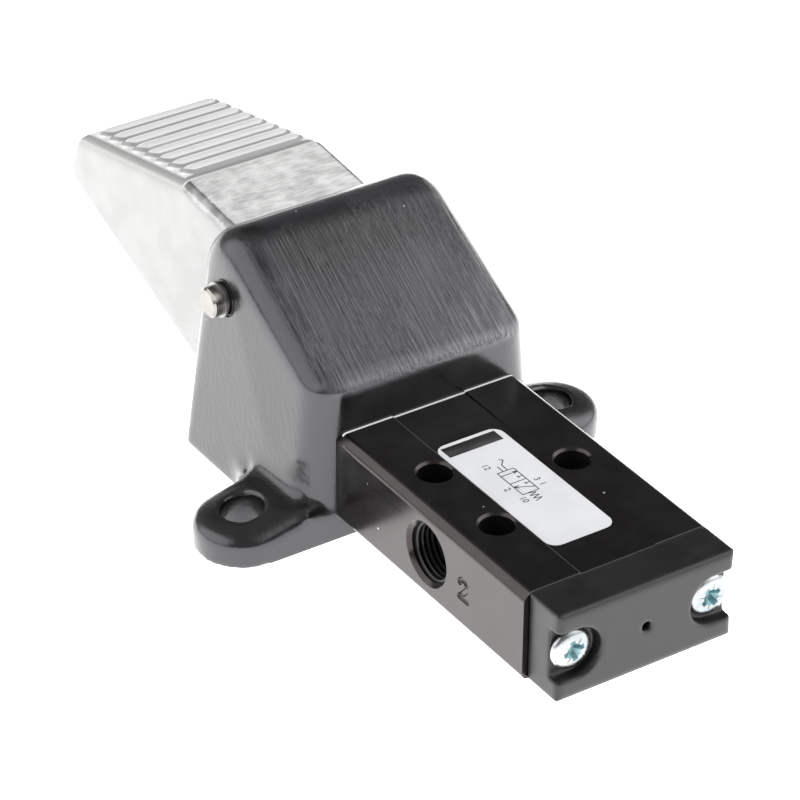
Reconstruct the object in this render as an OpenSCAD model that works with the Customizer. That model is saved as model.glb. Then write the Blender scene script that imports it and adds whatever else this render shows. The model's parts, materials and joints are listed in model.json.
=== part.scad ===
// Foot pedal air valve: a 3/2 spool valve worked by a pedal on a cast housing.
// All sizes are in millimetres. +X runs from the pedal to the end cap and +Z is up.
// The origin is on the floor, midway between the two foot holes.
// Left is the -Y side, as seen from the end cap.

/* [Housing] */
// Width of the housing at the floor
housing_w = 45.3; // [44:0.1:48]
// Width of the housing at its top, less because of the draft
housing_top_w = 40.6; // [39.6:0.1:42]
// Distance from the foot holes to the front face
housing_front = 8; // [7.5:0.1:9]
// Distance from the foot holes to the rear edge of the walls
housing_rear = 29.5; // [29:0.1:32]
// Height of the front face
front_h = 28.4; // [27.5:0.1:30]
// Radius of the round top, where the slope turns to the rear
nose_r = 8.3; // [8:0.1:9]
// Highest point of the housing
housing_h = 42.3; // [42:0.1:43]
// Radius of the long top edges
edge_r = 5; // [3:0.5:6]
// Radius of the upright front corners
front_corner_r = 6; // [4:0.5:7]
// Thickness of the front wall
front_wall = 5; // [4:0.5:6]
// Inner width between the side walls
cavity_w = 34.8; // [34:0.1:35.2]

/* [Foot ears] */
// Distance between the two foot holes
foot_spacing = 59; // [58.5:0.1:61]
// Diameter of a foot hole
foot_hole_d = 6.8; // [5.5:0.1:7]
// Radius of an ear's round end
ear_r = 8; // [7.5:0.1:9]
// Thickness of an ear at its end
ear_h = 5.6; // [5:0.1:7]
// Radius of an ear's upper edge
ear_edge_r = 2.2; // [1:0.1:2.5]
// Radius of the flare from an ear into the side wall
flare_r = 6; // [4:0.5:7]
// Radius of the hollow between an ear's top and the side wall
ear_fillet_r = 3; // [2:0.5:3.5]

/* [Pedal] */
// Width of the pedal
pedal_w = 27.5; // [26:0.1:28]
// Reach of the pedal's tip behind the foot holes
pedal_reach = 82; // [78:0.5:86]
// Wall thickness of the casting
pedal_wall = 3.3; // [2.8:0.1:3.8]
// Radius of the hub round the pin
hub_r = 5.2; // [4.8:0.1:5.4]
// Number of ribs on the tread
rib_count = 8; // [6:1:9]
// Distance from rib to rib along the tread
rib_pitch = 3.9; // [3.6:0.05:4]
// Radius of a rib
rib_r = 1.6; // [1.3:0.1:1.7]
// Height of a rib above the tread
rib_h = 1.1; // [0.6:0.1:1.2]
// Radius of the tread's side edges
tread_edge_r = 2.2; // [1:0.1:2.4]
// Width of the bevel along the flat part's side edges
pedal_bevel = 1.3; // [0.6:0.1:1.6]

/* [Pivot] */
// Diameter of the pivot pin
pin_d = 5; // [4.5:0.1:5.2]
// Length of the pivot pin
pin_l = 46.8; // [46:0.1:48]
// Distance of the pin behind the foot holes
pin_back = 20; // [19.8:0.1:20.4]
// Height of the pin above the floor
pin_z = 31.5; // [31.3:0.1:31.7]
// Outer diameter of a retaining ring
ring_d = 5.9; // [5.8:0.1:6.4]
// Thickness of a retaining ring
ring_t = 0.4; // [0.3:0.05:0.6]
// Gap from the side wall to a retaining ring, at the ring's lower edge
ring_gap = 0.25; // [0.05:0.05:0.4]

/* [Valve body] */
// Length of the valve body
body_l = 50.6; // [50.4:0.1:51]
// Width of the valve body
body_w = 34; // [33:0.1:35]
// Height of the valve body
body_h = 15.6; // [15:0.1:16]
// Height of the valve's axis above the floor
axis_z = 12; // [11.8:0.1:12.2]
// Radius of the body's long edges
body_edge_r = 1.1; // [0.5:0.1:1.5]
// Diameter of a mounting hole through the body
mount_hole_d = 5.5; // [5.2:0.1:5.6]
// Distance of the mounting holes from the middle plane
mount_hole_y = 9.9; // [9.7:0.1:10]
// Distance of the middle port from the front face
port_x = 25; // [24.8:0.1:25.2]
// Distance from port to port along the body
port_pitch = 8.37; // [8.3:0.01:8.4]
// Diameter of a port, at the crests of its thread
port_d = 9.72; // [9.5:0.01:9.75]
// Depth of a port
port_depth = 8.5; // [8:0.1:9]
// Diameter of the spool's bore
bore_d = 9; // [8.98:0.01:9.02]

/* [End cap and label] */
// Length of the end cap
cap_l = 7.7; // [7.5:0.1:8]
// Step from the body's side to the cap's side
cap_step = 0.9; // [0.4:0.1:1.2]
// Depth of the screw pockets in the cap's end
pocket_depth = 2.4; // [2.2:0.05:3]
// Height of the screw pockets
pocket_h = 8.7; // [7.6:0.1:9]
// Distance of the screws from the middle plane
screw_y = 12.55; // [12.4:0.05:12.8]
// Radius of the edges round the cap's end
cap_edge_r = 1.1; // [0.4:0.1:1.2]
// Length of the label
label_l = 31.8; // [20:0.1:34]
// Width of the label
label_w = 12; // [8:0.1:12.4]

/* [Spool and plunger] */
// Stroke of the plunger and the spool
stroke = 4.1; // [4:0.05:4.15]
// Diameter of the plunger
plunger_d = 5; // [4.8:0.1:5.2]
// Reach of the plunger into the housing from the front face
plunger_reach = 10.3; // [10.1:0.1:10.5]
// Diameter of the spool's lands
land_d = 8.8; // [8.7:0.05:8.85]
// Diameter of the spool's waists
waist_d = 5.2; // [4.6:0.1:5.4]
// Outer diameter of the return spring
spring_d = 7.8; // [7.4:0.1:8]
// Diameter of the spring's wire
wire_d = 0.9; // [0.7:0.1:1]
// Number of turns of the spring
spring_turns = 6.5; // [5:0.5:7]

/* [Hidden] */
$fn = 64;
eps = 0.01;
arc_steps = 6;
clearance = 0.3;
running_fit = 0.04;

// Places along the valve
body_x = housing_front;
cap_x = body_x + body_l;
end_x = cap_x + cap_l;
wall_x = housing_front - front_wall;
port_2_x = body_x + port_x;
port_1_x = port_2_x - port_pitch;
port_3_x = port_2_x + port_pitch;
port_r = port_d / 2;
bore_r = bore_d / 2;
chamber_r = bore_r + 0.7;

// Chambers in the bore round each port: [start, end]
chambers = [
    [port_1_x - 2, port_1_x + 2],
    [port_2_x - 2.6, port_2_x + 2.6],
    [port_3_x - 2, port_3_x + 2]
];

// Plunger, its guide and the spool
guide_l = 4;
guide_r = 6;
guide_end = body_x + guide_l;
plunger_r = plunger_d / 2;
plunger_tip = housing_front - plunger_reach;
plunger_end = guide_end + 1.8;
plunger_seal_x = body_x + 1.3;
guide_groove_x = body_x + 2.1;
groove_w = 1.4;
land_r = land_d / 2;
waist_r = waist_d / 2;
seal_xs = [body_x + 9.2, port_2_x - 0.9 - stroke, port_2_x + 4.7 - stroke, port_3_x + 4.2];
seal_wire_r = 0.63;
seal_ring_r = bore_r - 0.02 - seal_wire_r;
seal_seat_r = seal_ring_r - seal_wire_r - 0.02;
land_w = 1;
spool_end = cap_x - 7.4;

// Spring chamber in the body and the cap
spring_room_r = 5.5;
spring_room_x = cap_x - 6.6;
spigot_l = 3;
spigot_r = spring_room_r - 0.05;
cap_pocket_r = 4.4;
cap_pocket_end = end_x - 2.5;
cap_seal_x = cap_x - 1.5;
cap_seal_wire_r = 0.5;
vent_r = 0.8;

// Screws of the housing and the cap
screw_r = 1.95;
screw_hole_r = 2;
screw_clear_r = 2.25;
screw_l = 14;
head_r = 3.5;
head_h = 1.5;
cap_screw_x = end_x - pocket_depth;

// Housing profile: the round top is tangent to the slope down to the front face
nose_x = -(housing_rear - 1 - nose_r);
nose_z = housing_h - nose_r;
front_edge_r = 2;
slope_wall = 4;
side_top_z = nose_z + nose_r - edge_r;
ceiling_z = 37.6;
boss_y = pedal_w / 2 + 0.45;
slope_turn = atan2(nose_z - front_h + front_edge_r, housing_front - front_edge_r - nose_x)
    + asin((nose_r - front_edge_r)
        / norm([housing_front - front_edge_r - nose_x, nose_z - front_h + front_edge_r]));

// Half the housing's width at a height, on the drafted part of the side walls
function wall_y(z) = housing_w / 2 - (housing_w - housing_top_w) / 2 * z / side_top_z;

// Pedal profile: the nose is an arc about a point under the pin, so that it pushes along the axis
pin_r = pin_d / 2;
pin_x = -pin_back;
ring_y = wall_y(pin_z - ring_d / 2) + ring_gap;
groove_r = pin_r - 0.4;
tip_lean = 4;
tip_low_z = 23;
tip_high_z = 31.9;
crest_x = -44;
crest_z = 38.9;
heel_x = -30.4;
heel_z = 3.2;
toe_x = -16;
toe_z = 4;
web_w = 4.5;
nose_boss_w = 12;
nose_boss_h = 11;
nose_arc_x = pin_x - 1;
nose_arc_r = plunger_tip - clearance - nose_arc_x;
tread_angle = atan2(crest_z - tip_high_z, crest_x + pedal_reach - tip_lean);
tread_l = pedal_reach + crest_x;
flat_angle = atan2(pin_z + hub_r - crest_z, pin_x - crest_x);
rib_inset = 1.9;
first_rib = 3.2;

// Points on an arc of the given start angle and turn
function arc(centre, r, start, turn) = [
    for (i = [0 : arc_steps])
        centre + r * [cos(start + turn * i / arc_steps), sin(start + turn * i / arc_steps)]
];

function unit(v) = v / norm(v);

function short_turn(a) = a > 180 ? a - 360 : a < -180 ? a + 360 : a;

// One corner [x, y, radius] of an outline, rounded
function rounded_corner(before, corner, after) =
    let (
        point = [corner.x, corner.y],
        r = corner.z,
        to_before = unit([before.x, before.y] - point),
        to_after = unit([after.x, after.y] - point),
        half = acos(to_before * to_after) / 2,
        centre = point + unit(to_before + to_after) * r / sin(half),
        first = point + to_before * r / tan(half) - centre,
        last = point + to_after * r / tan(half) - centre,
        start = atan2(first.y, first.x)
    )
    r == 0 ? [point] : arc(centre, r, start, short_turn(atan2(last.y, last.x) - start));

// An outline of corners [x, y, radius]
function rounded(corners) =
    let (n = len(corners))
    [for (i = [0 : n - 1]) each rounded_corner(corners[(i + n - 1) % n], corners[i], corners[(i + 1) % n])];

// Places a solid that stands on +Z so that it lies along +X from x, on the valve's axis
module along_valve(x, y = 0) {
    translate([x, y, axis_z])
        rotate([0, 90, 0])
            children();
}

// Extrudes an outline drawn in X and Z to a width across the part
module across(w, y = 0) {
    translate([0, y, 0])
        rotate([90, 0, 0])
            linear_extrude(w, center = true)
                children();
}

// A solid and its mirror image on the other side
module both_sides() {
    children();
    mirror([0, 1, 0])
        children();
}

// A flat ring that stands on +Z
module ring(r_in, r_out, h) {
    difference() {
        cylinder(r = r_out, h = h);
        translate([0, 0, -eps])
            cylinder(r = r_in, h = h + 2 * eps);
    }
}

// A sealing ring of round section, about Z
module o_ring(ring_r, wire_r) {
    rotate_extrude()
        translate([ring_r, 0])
            circle(wire_r);
}

// A disc on the floor with a rounded upper edge
module rounded_disc(r, h, edge) {
    rotate_extrude($fn = 32) {
        square([r - edge, h]);
        square([r, h - edge]);
        translate([r - edge, h - edge])
            circle(edge, $fn = 24);
    }
}

// Screw with a domed head: the head's seat is at z = 0 and the shank runs down
module pan_screw() {
    rim = 0.55;
    crown_r = 1.2;
    dome = [
        for (i = [0 : arc_steps])
            let (a = 90 * i / arc_steps)
            [crown_r + (head_r - crown_r) * cos(a), rim + (head_h - rim) * sin(a)]
    ];
    rotate_extrude()
        polygon(concat([[0, 0], [head_r - rim / 2, 0], [head_r, rim / 2]], dome, [[0, head_h]]));
    translate([0, 0, -screw_l])
        cylinder(r = screw_r, h = screw_l + eps);
}

// The housing's outer form: a sloped hood with draft, before it is hollowed
module hood() {
    hull() {
        translate([nose_x, 0, nose_z])
            rotate([90, 0, 0])
                rotate_extrude($fn = 48)
                    polygon(rounded([
                        [0, -housing_top_w / 2, 0], [nose_r, -housing_top_w / 2, edge_r],
                        [nose_r, housing_top_w / 2, edge_r], [0, housing_top_w / 2, 0]
                    ]));
        for (side = [-1, 1]) {
            translate([housing_front - front_corner_r, side * (housing_top_w / 2 - front_corner_r), 0])
                translate([0, 0, front_h - front_edge_r])
                    rotate_extrude($fn = 32)
                        translate([front_corner_r - front_edge_r, 0])
                            circle(front_edge_r, $fn = 24);
            translate([housing_front - front_corner_r, side * (housing_w / 2 - front_corner_r), 0])
                cylinder(r = front_corner_r, h = eps, $fn = 32);
            translate([1 - housing_rear, side * (housing_w / 2 - 1), 0])
                cylinder(r = 1, h = eps, $fn = 16);
        }
    }
}

// A foot ear: it thickens towards the wall, and its rear edge flares into the wall
module ear() {
    hull() {
        translate([0, -foot_spacing / 2, 0])
            rounded_disc(ear_r, ear_h, ear_edge_r);
        translate([0, -housing_w / 2 + 2.5, 0])
            rounded_disc(ear_r, ear_h + 1.9, ear_edge_r);
    }
    linear_extrude(ear_h - 0.6)
        difference() {
            translate([-ear_r - flare_r, -housing_w / 2 - flare_r])
                square([flare_r + 1, flare_r + 2]);
            translate([-ear_r - flare_r, -housing_w / 2 - flare_r])
                circle(flare_r);
        }
}

// The hollow that leads from an ear's top into the side wall and round the front corner
module ear_fillet() {
    base_z = ear_h + 0.9;
    base_y = wall_y(base_z + ear_fillet_r);
    corner_x = housing_front - front_corner_r;
    outline = concat(
        [[-1, 1], [ear_fillet_r, 1]],
        arc([ear_fillet_r, base_z + ear_fillet_r], ear_fillet_r, 270, -90),
        [[-1, base_z + ear_fillet_r]]
    );
    intersection() {
        union() {
            translate([-ear_r, -base_y, 0])
                mirror([0, 1, 0])
                    rotate([90, 0, 90])
                        linear_extrude(ear_r + corner_x)
                            polygon(outline);
            translate([corner_x, front_corner_r - base_y, 0])
                rotate_extrude()
                    translate([front_corner_r, 0])
                        polygon(outline);
        }
        translate([-ear_r, -foot_spacing / 2, 0])
            cube([2 * ear_r, (foot_spacing - housing_w) / 2 + 1, housing_h]);
    }
}

// The space for the pedal: open to the rear and to the floor, under the slope
module pedal_space() {
    slope_x = housing_front - front_edge_r;
    slope_z = front_h - front_edge_r;
    inner_r = front_edge_r - slope_wall;
    start = [slope_x, slope_z] + inner_r * [sin(slope_turn), cos(slope_turn)];
    wall_top = start.y + (start.x - wall_x) * tan(slope_turn);
    bend_x = start.x - (ceiling_z - start.y) / tan(slope_turn);
    across(cavity_w)
        polygon(rounded([
            [-housing_rear - 10, -1, 0], [wall_x, -1, 0], [wall_x, wall_top, 2],
            [bend_x, ceiling_z, 3], [-housing_rear - 10, ceiling_z, 0]
        ]));
}

module pedal_housing() {
    color("#202022")
        difference() {
            union() {
                difference() {
                    union() {
                        hood();
                        both_sides() {
                            ear();
                            ear_fillet();
                        }
                    }
                    pedal_space();
                }
                both_sides()
                    translate([pin_x, -cavity_w / 2 - 1, pin_z])
                        rotate([-90, 0, 0])
                            cylinder(r = hub_r + 0.6, h = cavity_w / 2 + 1 - boss_y);
            }
            translate([pin_x, 0, pin_z])
                rotate([90, 0, 0])
                    cylinder(r = pin_r + running_fit, h = housing_w + 2, center = true);
            both_sides()
                translate([0, -foot_spacing / 2, -1])
                    cylinder(r = foot_hole_d / 2, h = ear_h + 4);
            along_valve(wall_x - 1)
                cylinder(r = plunger_r + 1.7, h = front_wall + 2);
            both_sides()
                along_valve(wall_x - 1, screw_y)
                    cylinder(r = screw_clear_r, h = front_wall + 2);
        }
}

// The pedal's side outline
module pedal_outline() {
    polygon(rounded([
        [-pedal_reach, tip_low_z, 2.5], [heel_x, heel_z, 2], [toe_x, toe_z, 3],
        [pin_x + hub_r, pin_z, 0], [pin_x, pin_z + hub_r, 0], [crest_x, crest_z, 2],
        [tip_lean - pedal_reach, tip_high_z, 3]
    ]));
    translate([pin_x, pin_z])
        circle(hub_r);
}

// The hollow under the tread, open downwards, which leaves the hub and a front wall
module pedal_hollow() {
    difference() {
        polygon(rounded([
            [2 * tip_lean - pedal_reach - 6, tip_low_z - 8, 0], [heel_x, heel_z - 8, 0],
            [toe_x - pedal_wall, heel_z - 8, 0], [toe_x - pedal_wall, pin_z - 5, 2],
            [pin_x - 8, pin_z + 1.6, 2], [crest_x, crest_z - pedal_wall, 2],
            [2 * tip_lean - pedal_reach, tip_high_z - pedal_wall - 0.4, 2]
        ]));
        translate([pin_x, pin_z])
            circle(hub_r);
    }
}

// The nose on the pedal's front wall that pushes the plunger
module pedal_nose() {
    intersection() {
        translate([nose_arc_x, axis_z])
            circle(nose_arc_r, $fn = 128);
        translate([toe_x - 2, axis_z - nose_boss_h / 2])
            square([30, nose_boss_h]);
    }
}

// A cutter of the given outline along the left upper edge, at an angle through the crest
module along_edge(angle, start, length) {
    translate([crest_x, -pedal_w / 2, crest_z])
        rotate([0, -angle, 0])
            translate([start, 0, 0])
                rotate([90, 0, 90])
                    linear_extrude(length)
                        children();
}

// What the tread's round side edges and the flat part's bevels take off
module edge_cuts() {
    margin = 1;
    r = tread_edge_r;
    along_edge(tread_angle, -tread_l, tread_l)
        polygon(concat([[-margin, margin], [-margin, -r]], arc([r, -r], r, 180, -90), [[r, margin]]));
    along_edge(flat_angle, 0, pin_x - crest_x)
        polygon([
            [-margin, margin], [-margin, -pedal_bevel], [0, -pedal_bevel], [pedal_bevel, 0],
            [pedal_bevel, margin]
        ]);
}

// A rib across the tread: a bar with round ends
module tread_rib() {
    half = pedal_w / 2 - rib_inset - rib_r;
    rotate([90, 0, 0])
        cylinder(r = rib_r, h = 2 * half, center = true, $fn = 32);
    for (side = [-1, 1])
        translate([0, side * half, 0])
            sphere(rib_r, $fn = 32);
}

module pedal() {
    bay_w = (pedal_w - web_w) / 2 - pedal_wall;
    bay_y = (web_w + bay_w) / 2;
    color("#d6d7d8")
        difference() {
            union() {
                difference() {
                    across(pedal_w)
                        pedal_outline();
                    both_sides() {
                        across(bay_w, bay_y)
                            pedal_hollow();
                        edge_cuts();
                    }
                }
                across(nose_boss_w)
                    pedal_nose();
                translate([crest_x, 0, crest_z])
                    rotate([0, -tread_angle, 0])
                        for (i = [0 : rib_count - 1])
                            translate([-first_rib - i * rib_pitch, 0, rib_h - rib_r])
                                tread_rib();
            }
            translate([pin_x, 0, pin_z])
                rotate([90, 0, 0])
                    cylinder(r = pin_r + running_fit, h = pedal_w + 2, center = true);
        }
}

module pivot_pin() {
    bevel = 0.35;
    color("#c8c5bc")
        translate([pin_x, 0, pin_z])
            rotate([90, 0, 0])
                difference() {
                    rotate_extrude()
                        polygon([
                            [0, -pin_l / 2], [pin_r - bevel, -pin_l / 2], [pin_r, bevel - pin_l / 2],
                            [pin_r, pin_l / 2 - bevel], [pin_r - bevel, pin_l / 2], [0, pin_l / 2]
                        ]);
                    for (z = [ring_y, -ring_y - ring_t])
                        translate([0, 0, z])
                            ring(groove_r, pin_r + 1, ring_t);
                }
}

// A split ring in the groove of the pin, with its gap downwards
module retaining_ring(side) {
    color("#a7a69f")
        translate([pin_x, side * (ring_y + ring_t / 2), pin_z])
            rotate([90, 0, 0])
                difference() {
                    translate([0, 0, -ring_t / 2])
                        ring(groove_r, ring_d / 2, ring_t);
                    translate([-0.6, -ring_d, -ring_t])
                        cube([1.2, ring_d, 2 * ring_t]);
                }
}

// Screw through the housing's front wall into the body
module housing_screw(side) {
    color("#c9cdd2")
        along_valve(wall_x, side * screw_y)
            mirror([0, 0, 1])
                pan_screw();
}

module end_cap_screw(side) {
    color("#c9cdd2")
        along_valve(cap_screw_x, side * screw_y)
            pan_screw();
}

// Rod with a domed tip and a flange that keeps it in its guide
module plunger() {
    dome = 1.2;
    flange_t = 1.3;
    length = plunger_end - plunger_tip;
    color("#bfc2c5")
        along_valve(plunger_tip)
            rotate_extrude()
                polygon(rounded([
                    [0, 0, 0], [plunger_r, 0, dome], [plunger_r, length - flange_t, 0],
                    [plunger_r + 1.1, length - flange_t, 0], [plunger_r + 1.1, length, 0.3], [0, length, 0]
                ]));
}

// Bush in the body's rear end, with a groove inside for the plunger's seal and one outside
module plunger_guide() {
    color("#b89a52")
        difference() {
            along_valve(body_x)
                ring(plunger_r + running_fit, guide_r - 0.02, guide_l);
            along_valve(plunger_seal_x - groove_w / 2)
                ring(plunger_r - 1, plunger_r + 1.2, groove_w);
            along_valve(guide_groove_x - groove_w / 2)
                ring(guide_r - 1.2, guide_r + 1, groove_w);
        }
}

module plunger_seal() {
    wire_r = 0.58;
    color("#1a1a1a")
        along_valve(plunger_seal_x)
            o_ring(plunger_r + 0.02 + wire_r, wire_r);
}

module guide_o_ring() {
    wire_r = 0.59;
    color("#1a1a1a")
        along_valve(guide_groove_x)
            o_ring(guide_r - 0.01 - wire_r, wire_r);
}

// A port in the body's side: a bore with a bevelled mouth and a smaller passage to the spool
module port(x, side) {
    mouth = 0.64;
    translate([x, side * body_w / 2, axis_z])
        rotate([side * 90, 0, 0]) {
            cylinder(r = port_r, h = port_depth);
            translate([0, 0, -eps])
                cylinder(r1 = port_r + mouth + eps, r2 = port_r, h = mouth + eps);
            cylinder(r = 2.6, h = body_w / 2 - bore_r + 1);
        }
}

// The spool's bore with the chambers of the ports, the guide's seat and the spring's room
module spool_bore() {
    along_valve(body_x - 1)
        cylinder(r = bore_r, h = body_l + 2);
    along_valve(body_x - 1)
        cylinder(r = guide_r, h = guide_l + 1);
    along_valve(spring_room_x)
        cylinder(r = spring_room_r, h = cap_x - spring_room_x + 1);
    for (c = chambers)
        along_valve(c[0])
            cylinder(r = chamber_r, h = c[1] - c[0]);
}

// A mounting hole through the body, with a small bevel at both ends
module mounting_hole(x, y) {
    rim = 0.4;
    translate([x, y, axis_z]) {
        cylinder(d = mount_hole_d, h = body_h + 2, center = true);
        for (end = [0, 1])
            mirror([0, 0, end])
                translate([0, 0, body_h / 2 - rim])
                    cylinder(d1 = mount_hole_d, d2 = mount_hole_d + 2 * rim + 2 * eps, h = rim + eps);
    }
}

// A block along the valve with rounded long edges
module long_block(x, length, w) {
    along_valve(x)
        linear_extrude(length)
            polygon(rounded([
                [-body_h / 2, -w / 2, body_edge_r], [body_h / 2, -w / 2, body_edge_r],
                [body_h / 2, w / 2, body_edge_r], [-body_h / 2, w / 2, body_edge_r]
            ]));
}

module valve_body() {
    channel_w = 13.6;
    color("#1b1b1e")
        difference() {
            long_block(body_x, body_l, body_w);
            spool_bore();
            port(port_1_x, 1);
            port(port_2_x, -1);
            port(port_3_x, 1);
            mounting_hole(port_1_x, -mount_hole_y);
            mounting_hole(port_3_x, -mount_hole_y);
            mounting_hole(port_2_x, mount_hole_y);
            both_sides() {
                along_valve(body_x - 1, screw_y)
                    cylinder(r = screw_hole_r, h = 11);
                along_valve(cap_x - 11.2, screw_y)
                    cylinder(r = screw_hole_r, h = 12);
            }
            translate([body_x - 1, -channel_w / 2, axis_z + body_h / 2 - clearance])
                cube([body_l + 2, channel_w, 1]);
        }
}

// Spool with four grooved lands, a spigot for the spring and waists between the lands
module spool() {
    spigot_r = spring_d / 2 - wire_d - 0.4;
    color("#c2c4c6")
        difference() {
            union() {
                along_valve(plunger_end)
                    cylinder(r = waist_r, h = spool_end - plunger_end);
                for (x = seal_xs)
                    along_valve(x - groove_w / 2 - land_w)
                        cylinder(r = land_r, h = groove_w + 2 * land_w);
                along_valve(seal_xs[3])
                    cylinder(r = land_r - 0.2, h = spool_end - seal_xs[3]);
                along_valve(spool_end - eps)
                    cylinder(r1 = spigot_r, r2 = spigot_r - 0.4, h = 3);
            }
            for (x = seal_xs)
                along_valve(x - groove_w / 2)
                    ring(seal_seat_r, bore_r + 1, groove_w);
        }
}

module spool_seal(i) {
    color("#1a1a1a")
        along_valve(seal_xs[i - 1])
            o_ring(seal_ring_r, seal_wire_r);
}

// Compression spring from the spool to the bottom of the cap, with closed ends
module return_spring() {
    sides = 8;
    per_turn = 16;
    wire_r = wire_d / 2;
    coil_r = spring_d / 2 - wire_r;
    length = cap_pocket_end - spool_end - wire_d;
    rings = spring_turns * per_turn;
    end_turn = 0.9 / spring_turns;
    end_rise = wire_d * 0.95;
    function rise(t) =
        t < end_turn ? end_rise * t / end_turn
        : t > 1 - end_turn ? length - end_rise * (1 - t) / end_turn
        : end_rise + (length - 2 * end_rise) * (t - end_turn) / (1 - 2 * end_turn);
    function wire_point(i, j) =
        let (a = 360 * i / per_turn, b = 360 * j / sides, r = coil_r + wire_r * cos(b))
        [r * cos(a), r * sin(a), wire_r + rise(i / rings) + wire_r * sin(b)];
    points = [for (i = [0 : rings]) for (j = [0 : sides - 1]) wire_point(i, j)];
    skin = [
        for (i = [0 : rings - 1]) for (j = [0 : sides - 1])
            let (a = i * sides + j, b = i * sides + (j + 1) % sides)
            each [[a, a + sides, b], [b, a + sides, b + sides]]
    ];
    first_end = [for (j = [0 : sides - 1]) j];
    last_end = [for (j = [sides - 1 : -1 : 0]) rings * sides + j];
    color("#b5b8bb")
        along_valve(spool_end)
            polyhedron(points, concat(skin, [first_end, last_end]));
}

// The cap's block, with rounded edges round its end
module cap_block(w) {
    low = axis_z - body_h / 2;
    high = axis_z + body_h / 2;
    r = cap_edge_r;
    intersection() {
        long_block(cap_x, cap_l, w);
        across(w + 2)
            polygon(rounded([[cap_x, low, 0], [end_x, low, r], [end_x, high, r], [cap_x, high, 0]]));
        linear_extrude(high + 1)
            polygon(rounded([
                [cap_x, -w / 2, 0], [end_x, -w / 2, r], [end_x, w / 2, r], [cap_x, w / 2, 0]
            ]));
    }
}

// Cap with a spigot in the body, a pocket for the spring, a vent and two open screw pockets
module end_cap() {
    color("#1d1d20")
        difference() {
            union() {
                cap_block(body_w - 2 * cap_step);
                along_valve(cap_x - spigot_l)
                    cylinder(r = spigot_r, h = spigot_l + eps);
            }
            along_valve(cap_x - spigot_l - 1)
                cylinder(r = cap_pocket_r, h = cap_pocket_end - cap_x + spigot_l + 1);
            along_valve(cap_x)
                cylinder(r = vent_r, h = cap_l + 1);
            along_valve(cap_seal_x - 0.6)
                ring(spigot_r - 1, spigot_r + 1, 1.2);
            both_sides() {
                along_valve(cap_x - 1, -screw_y)
                    cylinder(r = screw_clear_r, h = cap_l + 2);
                along_valve(cap_screw_x, -screw_y)
                    cylinder(d = pocket_h, h = pocket_depth + 1);
                translate([cap_screw_x, -body_w / 2 - 1, axis_z - pocket_h / 2])
                    cube([pocket_depth + 1, body_w / 2 + 1 - screw_y, pocket_h]);
            }
        }
}

module cap_seal() {
    color("#1a1a1a")
        along_valve(cap_seal_x)
            o_ring(spring_room_r - 0.01 - cap_seal_wire_r, cap_seal_wire_r);
}

// Sticker in the body's channel
module label() {
    label_t = 0.15;
    label_y = -0.6;
    color("#f2f2ef")
        translate([port_2_x + 2, label_y, axis_z + body_h / 2 - clearance])
            linear_extrude(label_t)
                polygon(rounded([
                    [-label_l / 2, -label_w / 2, 2], [label_l / 2, -label_w / 2, 2],
                    [label_l / 2, label_w / 2, 2], [-label_l / 2, label_w / 2, 2]
                ]));
}

pedal_housing();
pedal();
pivot_pin();
retaining_ring(-1);  // retaining_ring_left
retaining_ring(1);  // retaining_ring_right
housing_screw(-1);  // housing_screw_left
housing_screw(1);  // housing_screw_right
plunger();
plunger_guide();
plunger_seal();
guide_o_ring();
valve_body();
spool();
spool_seal(1);  // spool_seal_1
spool_seal(2);  // spool_seal_2
spool_seal(3);  // spool_seal_3
spool_seal(4);  // spool_seal_4
return_spring();
end_cap();
cap_seal();
end_cap_screw(-1);  // end_cap_screw_left
end_cap_screw(1);  // end_cap_screw_right
label();
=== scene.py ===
# Foot pedal air valve: its looks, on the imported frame. Lengths are in metres, and MM is one millimetre.
import json
import math

import bmesh
import bpy
from mathutils import Matrix, Vector


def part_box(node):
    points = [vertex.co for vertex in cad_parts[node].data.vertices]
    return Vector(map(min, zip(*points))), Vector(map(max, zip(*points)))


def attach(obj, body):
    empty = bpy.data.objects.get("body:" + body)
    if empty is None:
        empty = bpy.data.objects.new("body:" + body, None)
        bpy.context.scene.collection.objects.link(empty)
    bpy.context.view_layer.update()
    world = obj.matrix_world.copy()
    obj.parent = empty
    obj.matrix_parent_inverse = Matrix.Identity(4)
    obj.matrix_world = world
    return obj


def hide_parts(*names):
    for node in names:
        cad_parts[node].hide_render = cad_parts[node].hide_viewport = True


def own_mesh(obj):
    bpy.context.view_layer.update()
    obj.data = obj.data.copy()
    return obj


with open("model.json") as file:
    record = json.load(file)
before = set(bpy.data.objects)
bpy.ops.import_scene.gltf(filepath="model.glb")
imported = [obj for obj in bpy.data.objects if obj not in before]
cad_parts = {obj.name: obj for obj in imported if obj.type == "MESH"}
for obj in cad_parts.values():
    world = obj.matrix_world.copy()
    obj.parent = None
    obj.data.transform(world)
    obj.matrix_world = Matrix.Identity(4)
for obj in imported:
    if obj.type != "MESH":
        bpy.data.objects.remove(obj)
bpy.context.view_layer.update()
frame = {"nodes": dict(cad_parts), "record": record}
scene = bpy.context.scene
MM = 0.001


# Camera
# A long lens looks down at the valve from the left of its end cap, as for a catalogue picture.
camera_azimuth = math.radians(56.302)
camera_height = math.radians(32.617)
camera_roll = math.radians(-0.511)
camera_distance = 639.51 * MM
camera_aim = Vector((8 * MM, 0, 0))
focal_pixels = 4011.1
image_pixels = 800
sensor_width = 36
nearest_seen = 10 * MM


def mm(*lengths):
    """Millimetres as metres."""
    return tuple(length * MM for length in lengths)


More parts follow.
